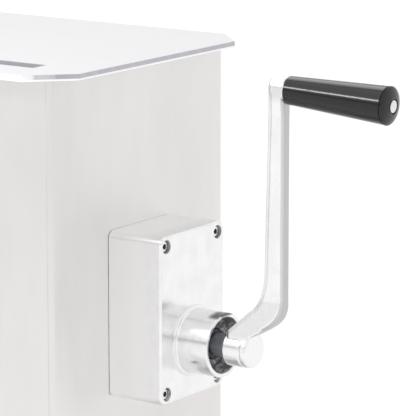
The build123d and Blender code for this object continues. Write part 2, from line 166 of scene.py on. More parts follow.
# ---- shader maths ----
class Wire:
    """A shader socket that Python's operators add Math nodes to."""

    def __init__(self, finish, socket):
        self.finish = finish
        self.socket = socket

    def join(self, operation, first, second=None):
        values = {0: first} if second is None else {0: first, 1: second}
        return self.finish.add("ShaderNodeMath", {"operation": operation}, values)

    def __add__(self, other):
        return self.join("ADD", self, other)

    def __radd__(self, other):
        return self.join("ADD", other, self)

    def __sub__(self, other):
        return self.join("SUBTRACT", self, other)

    def __rsub__(self, other):
        return self.join("SUBTRACT", other, self)

    def __mul__(self, other):
        return self.join("MULTIPLY", self, other)

    def __rmul__(self, other):
        return self.join("MULTIPLY", other, self)

    def __truediv__(self, other):
        return self.join("DIVIDE", self, other)

    def __rtruediv__(self, other):
        return self.join("DIVIDE", other, self)


class Finish:
    """A node tree under construction, for a material or the world."""

    def __init__(self, owner):
        self.owner = owner
        owner.use_nodes = True
        self.tree = owner.node_tree
        self.tree.nodes.clear()

    def add(self, kind, settings=None, values=None, output=0):
        """A node of a kind, with its settings, then its sockets' values or links."""
        node = self.tree.nodes.new(kind)
        for key, value in (settings or {}).items():
            if key == "stops":
                self.set_stops(node.color_ramp, value)
            else:
                setattr(node, key, value)
        for key, value in (values or {}).items():
            if isinstance(value, Wire):
                self.tree.links.new(value.socket, node.inputs[key])
            else:
                node.inputs[key].default_value = value
        return Wire(self, node.outputs[output]) if len(node.outputs) else node

    @staticmethod
    def set_stops(ramp, stops):
        """Puts a ramp's stops: the first and last exist already."""
        for position, _ in stops[1:-1]:
            ramp.elements.new(position)
        for element, (position, grey) in zip(ramp.elements, stops):
            element.position = position
            element.color = (grey, grey, grey, 1)

    def place(self, scale=(1, 1, 1)):
        """Object coordinates, stretched."""
        coordinates = self.add("ShaderNodeTexCoord", output="Object")
        return self.add("ShaderNodeMapping", values={"Vector": coordinates, "Scale": scale})

    def noise(self, size, stretch=(1, 1, 1), detail=2.0, roughness=0.5):
        """Noise with features of a size in metres, stretched along an axis where it is below 1."""
        values = {
            "Vector": self.place(stretch),
            "Scale": 1 / size,
            "Detail": detail,
            "Roughness": roughness,
        }
        return self.add("ShaderNodeTexNoise", values=values)

    def axis(self, name):
        """One object coordinate as a number."""
        coordinates = self.add("ShaderNodeTexCoord", output="Object")
        return self.add("ShaderNodeSeparateXYZ", values={0: coordinates}, output=name)

    def ramp(self, value, stops):
        """A grey from a number, through (position, grey) stops."""
        return self.add("ShaderNodeValToRGB", {"stops": stops}, {0: value})

    def ease(self, value, low, high):
        """0 below low, 1 above high, smooth between."""
        values = {"Value": value, "From Min": low, "From Max": high}
        return self.add("ShaderNodeMapRange", {"interpolation_type": "SMOOTHSTEP"}, values)

    def mix(self, factor, first, second):
        """Colours blended by a factor."""
        values = {"Factor": factor, 6: first, 7: second}
        return self.add("ShaderNodeMix", {"data_type": "RGBA"}, values, 2)

    def bump(self, height, distance, strength=1.0, normal=None):
        """A normal from a height between 0 and 1, over a depth in metres."""
        values = {"Height": height, "Distance": distance, "Strength": strength}
        if normal is not None:
            values["Normal"] = normal
        return self.add("ShaderNodeBump", values=values)

    def surface(self, values):
        """The principled shader, sent to the output."""
        shader = self.add("ShaderNodeBsdfPrincipled", values=values)
        self.add("ShaderNodeOutputMaterial", values={"Surface": shader})
        return self.owner

    def metal(self, base, roughness, normal):
        """The principled shader for bare metal, sent to the output."""
        return self.surface(
            {"Base Color": base, "Metallic": 1.0, "Roughness": roughness, "Normal": normal}
        )


def rgba(colour):
    return (*colour, 1.0)


def scaled(colour, factor):
    return tuple(channel * factor for channel in colour) + (1.0,)


def new_finish(name):
    return Finish(bpy.data.materials.new(name))


# ---- materials ----
def satin_sheet(name, colour, grain=(1, 1, 0.02), cloud=0.11):
    """Brushed stainless sheet: fine grain, faint clouds of a size and a few hairline scratches."""
    finish = new_finish(name)
    grain_lines = finish.noise(0.25 * MM, grain, detail=3.0, roughness=0.7)
    clouds = finish.noise(cloud, (1, 1, 0.5), detail=1.5)
    smears = finish.noise(18 * MM, (1, 1, 0.25), detail=3.0)
    worn = finish.ease(finish.noise(2 * MM, grain, detail=4.0), 0.66, 0.74)
    shade = clouds * 0.75 + smears * 0.25
    base = finish.mix(finish.ease(shade, 0.3, 0.7), scaled(colour, 0.94), scaled(colour, 1.04))
    base = finish.mix(worn * 0.25, base, scaled(colour, 1.08))
    roughness = 0.27 + grain_lines * 0.1 + smears * 0.1
    normal = finish.bump(grain_lines, 0.004 * MM, 0.5)
    normal = finish.bump(clouds, 0.5 * MM, 0.12, normal)
    return finish.metal(base, roughness, normal)


def polished_casting(name, colour, face):
    """Buffed aluminium, faintly pitted: polished out from a face's X, linished before it; its sides
    carry painted light, lighter towards the panel.

    A dark painted reflection lies on top, at the boss's rim.
    """
    finish = new_finish(name)
    outside = finish.axis("X")
    polished = finish.ease(outside, face - 3 * MM, face - 0.5 * MM)
    bright = finish.ease(outside, face - 24 * MM, face + 2 * MM)
    waves = finish.noise(14 * MM, detail=2.0)
    haze = finish.noise(5 * MM, (1, 0.4, 0.4), detail=4.0, roughness=0.6)
    pits = finish.ease(finish.noise(0.9 * MM, detail=1.0), 0.70, 0.78)
    base = finish.mix(finish.ease(haze, 0.35, 0.75), rgba(colour), scaled(colour, 0.93))
    # Painted light: the housing's sides are made up to 13 % lighter towards the panel.
    base = finish.mix(bright, scaled(colour, 1.13), base)
    base = finish.mix(pits * 0.3, base, scaled(colour, 0.6))
    # Painted reflection: a dark patch across the top of the boss's rim.
    painted_reflection = finish.ease(finish.noise(3 * MM, (1, 0.5, 1), detail=3.0), 0.26, 0.42)
    top = finish.ease(finish.axis("Z"), CRANK_Z + 21.4 * MM, CRANK_Z + 23.6 * MM)
    rim = finish.ease(outside, face + 19 * MM, face + 25 * MM)
    base = finish.mix(painted_reflection * top * rim * 0.9, base, scaled(colour, 0.08))
    rough = 0.24 - polished * 0.1 + haze * 0.12
    normal = finish.bump(waves, 0.6 * MM, 0.05)
    normal = finish.bump(pits, -0.03 * MM, 0.4, normal)
    return finish.metal(base, rough, normal)


def arm_casting():
    """The arm: buffed along its sides, with painted shade on its top end and on its outer side,
    which is also rougher, as cast.
    """
    finish = new_finish("arm_casting")
    colour = colours().cast
    waves = finish.noise(16 * MM, (1, 1, 0.5), detail=2.0)
    haze = finish.noise(4 * MM, (1, 1, 0.3), detail=4.0, roughness=0.6)
    clouds = finish.noise(50 * MM, detail=2.0)
    pits = finish.ease(finish.noise(0.8 * MM, detail=2.0), 0.62, 0.72)
    outward = finish.add("ShaderNodeAttribute", {"attribute_name": "outward"}, output="Fac")
    beyond_hub = finish.ease(finish.axis("X"), PANEL_X + 107.5 * MM, PANEL_X + 109 * MM)
    # Painted shade: the outer side and the bend's underside are darkened to 0.6 of the colour; they
    # are also rougher, as cast.
    painted_shade_as_cast = finish.ease(outward, 0.4, 0.9) * beyond_hub
    satin = finish.ease(finish.axis("X"), PANEL_X + 100 * MM, PANEL_X + 102 * MM)
    base = finish.mix(finish.ease(haze, 0.35, 0.75), scaled(colour, 1.08), scaled(colour, 1.0))
    base = finish.mix(finish.ease(clouds, 0.35, 0.65), scaled(colour, 1.0), base)
    # Painted shade: the arm's top end is darkened to 0.86 of the colour.
    painted_top_shade = finish.ease(finish.axis("Z"), CRANK_Z + 190 * MM, CRANK_Z + 200 * MM)
    base = finish.mix(painted_top_shade, base, scaled(colour, 0.86))
    base = finish.mix(painted_shade_as_cast, base, scaled(colour, 0.6))
    base = finish.mix(pits * (0.12 + painted_shade_as_cast * 0.4), base, scaled(colour, 0.55))
    rough = 0.16 + satin * 0.04 + haze * 0.12 + painted_shade_as_cast * 0.1
    normal = finish.bump(waves, 0.6 * MM, 0.16)
    normal = finish.bump(pits, -0.04 * MM, 0.4, normal)
    return finish.metal(base, rough, normal)


def greased_bore(name, dark=0.22, light=0.95):
    """Grey grease smeared over metal, with lighter streaks wiped through it."""
    finish = new_finish(name)
    streaks = finish.noise(3.5 * MM, (1, 0.6, 0.6), detail=5.0, roughness=0.65)
    lumps = finish.noise(1.6 * MM, detail=3.0)
    wiped = finish.ease(streaks, 0.45, 0.68)
    base = finish.mix(wiped, (dark, dark, dark * 1.04, 1), (light, light, light * 1.02, 1))
    base = finish.mix(finish.ease(lumps, 0.55, 0.75) * 0.6, base, (0.03, 0.03, 0.033, 1))
    normal = finish.bump(lumps, 0.3 * MM, 0.7)
    return finish.surface({"Base Color": base, "Roughness": 0.3 + lumps * 0.25, "Normal": normal})


def turned_metal(name, colour, roughness=0.22, grime=0.15):
    """Turned or ground metal with rings of tool marks along X and oily patches."""
    finish = new_finish(name)
    rings = finish.noise(0.3 * MM, (1, 0.03, 0.03), detail=2.0)
    stains = finish.ease(finish.noise(6 * MM, detail=4.0), 0.45, 0.75)
    base = finish.mix(stains * grime, rgba(colour), scaled(colour, 0.4))
    rough = roughness + rings * 0.12
    normal = finish.bump(rings, 0.006 * MM, 0.6)
    return finish.metal(base, rough, normal)


def bright_screw(name, colour):
    """Plated steel with fine scratches."""
    finish = new_finish(name)
    scratches = finish.noise(0.4 * MM, (1, 1, 0.1), detail=3.0)
    base = finish.mix(finish.ease(scratches, 0.5, 0.8), rgba(colour), scaled(colour, 0.75))
    normal = finish.bump(scratches, 0.01 * MM, 0.4)
    return finish.metal(base, 0.16 + scratches * 0.14, normal)


def black_rubber(name, colour=(0.012, 0.012, 0.014), roughness=0.22):
    """Oiled black rubber."""
    finish = new_finish(name)
    film = finish.noise(2.5 * MM, detail=3.0)
    speckle = finish.noise(0.5 * MM, detail=2.0)
    base = finish.mix(finish.ease(speckle, 0.45, 0.8), rgba(colour), scaled(colour, 2.2))
    normal = finish.bump(speckle, 0.02 * MM, 0.5)
    values = {"Base Color": base, "Roughness": roughness + film * 0.2, "Normal": normal}
    return finish.surface(values)


def glossy_black(name, colour):
    """Moulded phenolic plastic: a faint orange peel under a gloss, with dust-fine scratches."""
    finish = new_finish(name)
    peel = finish.noise(2.2 * MM, detail=1.0)
    scratches = finish.noise(0.5 * MM, (0.08, 1, 1), detail=3.0)
    marks = finish.ease(scratches, 0.62, 0.74)
    base = finish.mix(marks * 0.3, rgba(colour), scaled(colour, 3.0))
    normal = finish.bump(peel, 0.06 * MM, 0.22)
    rough = 0.13 + marks * 0.15 + peel * 0.05
    return finish.surface({"Base Color": base, "Roughness": rough, "Normal": normal})


def clear_acrylic(name, colour):
    """The lid's faces: clear from above, milky at a glancing look, with a haze and scuffs."""
    finish = new_finish(name)
    scuffs = finish.ease(finish.noise(1.2 * MM, (0.06, 1, 1), detail=4.0), 0.66, 0.8)
    haze = finish.noise(60 * MM, detail=2.0)
    glancing = finish.add("ShaderNodeLayerWeight", values={"Blend": 0.5}, output="Facing")
    values = {
        "Base Color": finish.mix(haze, rgba(colour), scaled(colour, 1.03)),
        "Roughness": 0.09 + scuffs * 0.2 + haze * 0.04,
        "Alpha": 0.3 + finish.ease(glancing, 0.0, 0.8) * 0.69 + haze * 0.03,
        "Normal": finish.bump(haze, 0.4 * MM, 0.08),
    }
    return finish.surface(values)


def acrylic_edge(name, colour, split):
    """The lid's sawn edge, coloured with painted light: lilac above a painted bright line of caught
    light, white along the front.
    """
    finish = new_finish(name)
    # Painted highlight: the edge is near white below the split height.
    bright = 1 - finish.ease(finish.axis("Z"), split - 0.3 * MM, split + 0.3 * MM)
    # Painted light by place along Y: white at the lid's front, darker lilac further back.
    depth = (finish.axis("Y") - LID[0].y) / (32 * MM)
    stops = [(0.0, 1.0), (0.03, 0.95), (0.17, 0.82), (0.22, 0.42)]
    stops += [(0.53, 0.4), (0.56, 0.24), (0.9, 0.26), (0.97, 0.33)]
    shade = finish.ramp(depth, stops)
    saw = finish.noise(0.6 * MM, (1, 1, 0.05), detail=2.0)
    streaks = finish.noise(12 * MM, (1, 1, 0.01), detail=3.0)
    tint = finish.mix(shade, scaled(colour, 0.5), (0.93, 0.93, 0.95, 1))
    tint = finish.mix(finish.ease(streaks, 0.4, 0.7) * 0.14, tint, (0.8, 0.79, 0.84, 1))
    values = {
        "Base Color": finish.mix(bright, tint, (0.95, 0.95, 0.97, 1)),
        "Roughness": 0.25 + saw * 0.15,
        "Normal": finish.bump(saw, 0.02 * MM, 0.4),
    }
    return finish.surface(values)


# ---- modelling ----
def turn_profile(points, steps, height, y=0.0):
    """A bmesh turned about the X axis at a height, from (x, radius) points."""
    bm = bmesh.new()
    corners = [bm.verts.new((x, 0, radius)) for x, radius in points]
    for first, second in zip(corners, corners[1:]):
        bm.edges.new((first, second))
    bmesh.ops.spin(
        bm,
        geom=bm.verts[:] + bm.edges[:],
        cent=(0, 0, 0),
        axis=(1, 0, 0),
        angle=FULL_TURN,
        steps=steps,
        use_merge=True,
    )
    bmesh.ops.remove_doubles(bm, verts=bm.verts, dist=1e-6)
    bmesh.ops.recalc_face_normals(bm, faces=bm.faces)
    bmesh.ops.translate(bm, verts=bm.verts, vec=(0, y, height))
    return bm


def arc(centre, radius, start, end, count):
    """Points of an arc in the (x, radius) plane, angles in degrees."""
    angles = [math.radians(start + (end - start) * step / count) for step in range(count + 1)]
    return [(centre[0] + radius * math.cos(a), centre[1] + radius * math.sin(a)) for a in angles]


def curve(start, middle, end, count):
    """Points of a smooth curve through three points."""
    points = []
    for step in range(count + 1):
        t = step / count
        weights = ((1 - t) * (1 - 2 * t), 4 * t * (1 - t), t * (2 * t - 1))
        axes = zip(start, middle, end)
        points.append(tuple(sum(w * c for w, c in zip(weights, corners)) for corners in axes))
    return points


def to_metres(points):
    """(mm out from the end panel, mm above the crank's axis) as (x, that height) in metres."""
    return [(PANEL_X + x * MM, z * MM) for x, z in points]


def grow(bm, face, step):
    """Extrudes a face into a solid."""
    grown = bmesh.ops.extrude_face_region(bm, geom=[face])
    moved = [item for item in grown["geom"] if isinstance(item, bmesh.types.BMVert)]
    bmesh.ops.translate(bm, verts=moved, vec=step)
    bmesh.ops.recalc_face_normals(bm, faces=bm.faces)


def prism(outline, width):
    """A side view (x, height above the crank's axis) extruded to a width across Y."""
    bm = bmesh.new()
    corners = [bm.verts.new((x, -width / 2, CRANK_Z + z)) for x, z in outline]
    grow(bm, bm.faces.new(corners), (0, width, 0))
    return bm


def bore_tool(mouth, bottom, radius, flare, steps, height, y=0.0):
    """A flared flat-bottomed bore along X, as a tool to cut with."""
    above = mouth + 2 * MM
    profile = [(above, 0), (above, radius + flare), (mouth, radius + flare)]
    profile += [(mouth - flare, radius), (bottom, radius), (bottom, 0)]
    return turn_profile(profile, steps, height, y)


def on_grip_axis(bm):
    """Moves a bmesh turned about X at the origin on to the grip's leaning axis."""
    turn = Vector((1, 0, 0)).rotation_difference(GRIP_AXIS).to_matrix().to_4x4()
    bmesh.ops.transform(bm, matrix=Matrix.Translation(GRIP_START) @ turn, verts=bm.verts)
    return bm


def bevel(bm, edges, width, segments, clamp=False):
    """Rounds edges, or cuts them flat when there is one segment."""
    bmesh.ops.bevel(
        bm,
        geom=edges,
        affect="EDGES",
        offset=width,
        segments=segments,
        profile=0.5,
        material=-1,
        clamp_overlap=clamp,
    )


def soften(bm, width, angle=28.0, segments=2):
    """Bevels every edge that is sharper than an angle."""
    limit = math.radians(angle)
    sharp = [e for e in bm.edges if len(e.link_faces) == 2 and e.calc_face_angle() > limit]
    bevel(bm, sharp, width, segments, True)


def new_object(name, bm):
    """A linked object made of a bmesh, which is freed."""
    mesh = bpy.data.meshes.new(name)
    bm.to_mesh(mesh)
    bm.free()
    made = bpy.data.objects.new(name, mesh)
    bpy.context.scene.collection.objects.link(made)
    return made


def show(name, bm, material, body, stands_for=(), smooth=32.0):
    """Finishes a mesh as a piece that rides on a body."""
    piece = new_object(name, bm)
    piece.data.shade_smooth()
    piece.data.set_sharp_from_angle(angle=math.radians(smooth))
    piece.data.materials.append(material)
    flatten = piece.modifiers.new("flat_faces", "WEIGHTED_NORMAL")
    flatten.keep_sharp = True
    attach(piece, body)
    if stands_for:
        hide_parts(*stands_for)
    return piece


def applied(working):
    """The bmesh of a working object with its modifiers applied; the object is removed."""
    bpy.context.view_layer.update()
    graph = bpy.context.evaluated_depsgraph_get()
    mesh = bpy.data.meshes.new_from_object(working.evaluated_get(graph))
    bm = bmesh.new()
    bm.from_mesh(mesh)
    bpy.data.meshes.remove(mesh)
    discard(working)
    return bm


def discard(working):
    mesh = working.data
    bpy.data.objects.remove(working)
    bpy.data.meshes.remove(mesh)


def combine(first, second, operation):
    """Joins or cuts two bmeshes with an exact boolean."""
    base = new_object("working", first)
    tool = new_object("tool", second)
    modifier = base.modifiers.new("combine", "BOOLEAN")
    modifier.operation = operation
    modifier.solver = "EXACT"
    modifier.object = tool
    result = applied(base)
    discard(tool)
    return result


def cad_copy(node):
    """A CAD node's mesh, merged and with its flat faces dissolved."""
    bm = bmesh.new()
    bm.from_mesh(frame["nodes"][node].data)
    bmesh.ops.remove_doubles(bm, verts=bm.verts, dist=2e-6)
    bmesh.ops.dissolve_limit(
        bm, angle_limit=math.radians(0.4), verts=bm.verts, edges=bm.edges, delimit={"NORMAL"}
    )
    return bm


def cuboid(low, high):
    """A box between two corners."""
    bm = bmesh.new()
    bmesh.ops.create_cube(bm, size=1.0)
    low, high = Vector(low), Vector(high)
    bmesh.ops.scale(bm, vec=high - low, verts=bm.verts)
    bmesh.ops.translate(bm, vec=(low + high) / 2, verts=bm.verts)
    return bm


def round_edges_along(bm, axis, radius, segments):
    """Rounds the box edges that run along an axis (0, 1 or 2)."""
    chosen = []
    for edge in bm.edges:
        direction = (edge.verts[1].co - edge.verts[0].co).normalized()
        if abs(direction[axis]) > 0.99:
            chosen.append(edge)
    bevel(bm, chosen, radius, segments)


def join_meshes(parts):
    """Several bmeshes as one."""
    whole = bmesh.new()
    for part in parts:
        mesh = bpy.data.meshes.new("part")
        part.to_mesh(mesh)
        part.free()
        whole.from_mesh(mesh)
        bpy.data.meshes.remove(mesh)
    return whole


def paint_faces(piece, index, places, radius, low=-math.inf, high=math.inf):
    """Gives a finish to faces near the (y, z) of some places and between two X."""
    for polygon in piece.data.polygons:
        centre = polygon.center
        near = any(math.hypot(centre.y - y, centre.z - z) < radius for y, z in places)
        if near and low < centre.x < high:
            polygon.material_index = index


def paint(nodes, material):
    """Gives CAD nodes a finish."""
    for name in nodes:
        mesh = frame["nodes"][name].data
        mesh.materials.clear()
        mesh.materials.append(material)


def sizes():
    return bpy.context.scene.mixer_sizes


def colours():
    return bpy.context.scene.mixer_colours


def housing_screw_places():
    """(y, z) of the housing's four screws."""
    low, high = HOUSING
    inset = sizes().screw_inset
    return [
        (y, z)
        for y in (low.y + inset, high.y - inset)
        for z in (low.z + inset, high.z - inset)
    ]


# ---- operators ----
class MIXER_OT_panels(bpy.types.Operator):
    """Finish the outer sheet panels and weld their corners"""

    bl_idname = "mixer.panels"
    bl_label = "Outer Panels"

    def execute(self, context):
        sheet = satin_sheet("satin_sheet", colours().sheet)
        panels = ("right_end_panel", "left_end_panel", "front_panel", "back_panel")
        paint(panels, sheet)
        seam = satin_sheet("dressed_weld", scaled(colours().sheet, 0.93)[:3], cloud=0.02)
        corner = 4 * MM
        parts = []
        for x in (TAIL_X + corner, PANEL_X - corner):
            for panel, side in (("front_panel", -1), ("back_panel", 1)):
                low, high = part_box(panel)
                y = low.y if side < 0 else high.y
                parts.append(self.weld(x, y, low.z + 1 * MM, high.z - 1 * MM))
        show("corner_welds", join_meshes(parts), seam, "frame")
        return {"FINISHED"}

    @staticmethod
    def weld(x, y, bottom, top):
        """A ground-down bead along one upright corner."""
        bead = cuboid((x - 0.45 * MM, y - 0.09 * MM, bottom), (x + 0.45 * MM, y + 0.09 * MM, top))
        soften(bead, 0.07 * MM, 30, 2)
        return bead


class MIXER_OT_trough(bpy.types.Operator):
    """Finish the trough and its end walls"""

    bl_idname = "mixer.trough"
    bl_label = "Trough"

    def execute(self, context):
        inside = satin_sheet("trough_sheet", scaled(colours().sheet, 0.98)[:3], (0.02, 1, 1), 0.08)
        paint(("trough_shell", "trough_end_right", "trough_end_left", "backing_plate"), inside)
        return {"FINISHED"}


class MIXER_OT_housing(bpy.types.Operator):
    """Machine the gear housing with its boss, recess and counterbores"""

    bl_idname = "mixer.housing"
    bl_label = "Gear Housing"

    def execute(self, context):
        size = sizes()
        low, high = HOUSING
        face = high.x - size.boss_length
        box = cuboid((low.x - 0.6 * MM, low.y, low.z), (face, high.y, high.z))
        round_edges_along(box, 0, size.housing_corner, 10)
        self.round_rim(box, face)
        housing = combine(box, self.boss(face, high.x), "UNION")
        housing = combine(housing, self.recess(high.x), "DIFFERENCE")
        for y, z in housing_screw_places():
            housing = combine(housing, self.counterbore(face, y, z), "DIFFERENCE")
        soften(housing, size.edge, 34, 2)
        casting = polished_casting("housing_casting", colours().cast, face)
        piece = show(
            "housing_body", housing, casting, "frame", ("gear_housing",)
        )
        piece.data.materials.append(greased_bore("greased_bore"))
        piece.data.materials.append(greased_bore("counterbore_grime", 0.32, 0.9))
        bottom = high.x - size.recess_depth - 1 * MM
        paint_faces(piece, 1, [(0, CRANK_Z)], size.recess_radius + 0.05 * MM, low=bottom)
        reach = COUNTERBORE_RADIUS + 0.2 * MM
        paint_faces(piece, 2, housing_screw_places(), reach, high=face - 0.3 * MM)
        return {"FINISHED"}

    @staticmethod
    def round_rim(bm, face):
        """Rounds the edges round the housing's outer face."""
        rim = [e for e in bm.edges if all(abs(v.co.x - face) < 1e-6 for v in e.verts)]
        bevel(bm, rim, 1.7 * MM, 5)

    @staticmethod
    def boss(face, end):
        """Round boss on a low step, with a fillet and a rounded lip."""
        size = sizes()
        step = size.boss_radius + 2.6 * MM
        fillet = 1.6 * MM
        root = size.boss_radius + fillet
        lip = 0.9 * MM
        profile = [(face - 3 * MM, 0), (face - 3 * MM, step), (face + 1.1 * MM, step)]
        profile += arc((face + 1.1 * MM, step - 0.9 * MM), 0.9 * MM, 90, 0, 4)[1:]
        profile += arc((face + 2.0 * MM + fillet, root), fillet, 180, 270, 6)
        profile += arc((end - lip, size.boss_radius - lip), lip, 90, 0, 5)
        profile += [(end, 0)]
        return turn_profile(profile, sizes().lathe_steps, CRANK_Z)

    @staticmethod
    def recess(end):
        """The boss's bore, down to the seal."""
        size = sizes()
        bottom = end - size.recess_depth
        return bore_tool(end, bottom, size.recess_radius, 0.5 * MM, size.lathe_steps, CRANK_Z)

    @staticmethod
    def counterbore(face, y, z):
        """The hole for a screw's head."""
        bottom = face - sizes().head_recess - SCREW_HEAD
        return bore_tool(face, bottom, COUNTERBORE_RADIUS, 0.45 * MM, 40, z, y)


class MIXER_OT_screws(bpy.types.Operator):
    """Make the socket-head screws of the housing"""

    bl_idname = "mixer.screws"
    bl_label = "Housing Screws"

    def execute(self, context):
        face = HOUSING[1].x - sizes().boss_length
        top = face - sizes().head_recess
        parts = [self.screw(top, y, z) for y, z in housing_screw_places()]
        plated = bright_screw("plated_screw", (0.9, 0.88, 0.85))
        whole = join_meshes(parts)
        piece = show("cap_screws", whole, plated, "frame", ("housing_screws",))
        piece.data.materials.append(black_rubber("socket_oxide", (0.13, 0.075, 0.045), 0.45))
        paint_faces(piece, 1, housing_screw_places(), 2.2 * MM, low=top - 4 * MM)
        paint(("housing_nuts", "foot_screws", "foot_nuts"), plated)
        return {"FINISHED"}

    @staticmethod
    def screw(end, y, z):
        """A cap screw: chamfered head with a hexagonal socket, and its shank."""
        chamfer = 0.5 * MM
        shank_end = PANEL_X - 12 * MM
        neck = end - SCREW_HEAD
        profile = [(shank_end, 0), (shank_end, SHANK_RADIUS), (neck, SHANK_RADIUS)]
        profile += [(neck, SCREW_RADIUS), (end - chamfer, SCREW_RADIUS)]
        profile += [(end, SCREW_RADIUS - chamfer), (end, 0)]
        head = turn_profile(profile, 48, z, y)
        socket = bmesh.new()
        bmesh.ops.create_cone(
            socket,
            cap_ends=True,
            segments=6,
            radius1=SOCKET_RADIUS,
            radius2=SOCKET_RADIUS,
            depth=6 * MM,
            matrix=Matrix.Rotation(math.pi / 2, 4, "Y"),
        )
        bmesh.ops.translate(socket, verts=socket.verts, vec=(end, y, z))
        head = combine(head, socket, "DIFFERENCE")
        soften(head, 0.12 * MM, 40, 1)
        return head


class MIXER_OT_bearing(bpy.types.Operator):
    """Make the shaft seal and finish the shaft and bushes"""

    bl_idname = "mixer.bearing"
    bl_label = "Shaft And Seal"

    def execute(self, context):
        low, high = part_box("input_seal")
        outer = (high.y - low.y) / 2
        bore = 9.3 * MM
        lip = 2.4 * MM
        profile = [(low.x, bore), (low.x, outer)]
        profile += arc((high.x - lip, outer - lip), lip, 90, 0, 8)
        inner = high.x - 1.4 * MM
        profile += [(inner, bore + 0.8 * MM), (inner, bore), (low.x, bore)]
        seal = turn_profile(profile, sizes().lathe_steps, CRANK_Z)
        oiled = black_rubber("oiled_rubber", roughness=0.1)
        show("shaft_seal", seal, oiled, "frame", ("input_seal",))
        paint(("input_shaft",), turned_metal("blued_shaft", (0.7, 0.72, 0.8), 0.35, 0.4))
        bushes = ("input_outer_bush", "input_inner_bush", "output_bush", "tail_bush")
        paint(bushes, turned_metal("bush_bronze", (0.62, 0.45, 0.24), 0.28, 0.4))
        paint(("output_seal",), black_rubber("dull_rubber", roughness=0.45))
        paint(("housing_gasket",), black_rubber("pale_gasket", (0.5, 0.5, 0.5), 0.5))
        gears = ("pinion", "driven_gear", "pinion_key", "gear_key")
        rings = ("input_retaining_ring", "output_retaining_ring")
        paint(gears + rings, turned_metal("gear_steel", (0.42, 0.42, 0.44), 0.3, 0.5))
        return {"FINISHED"}


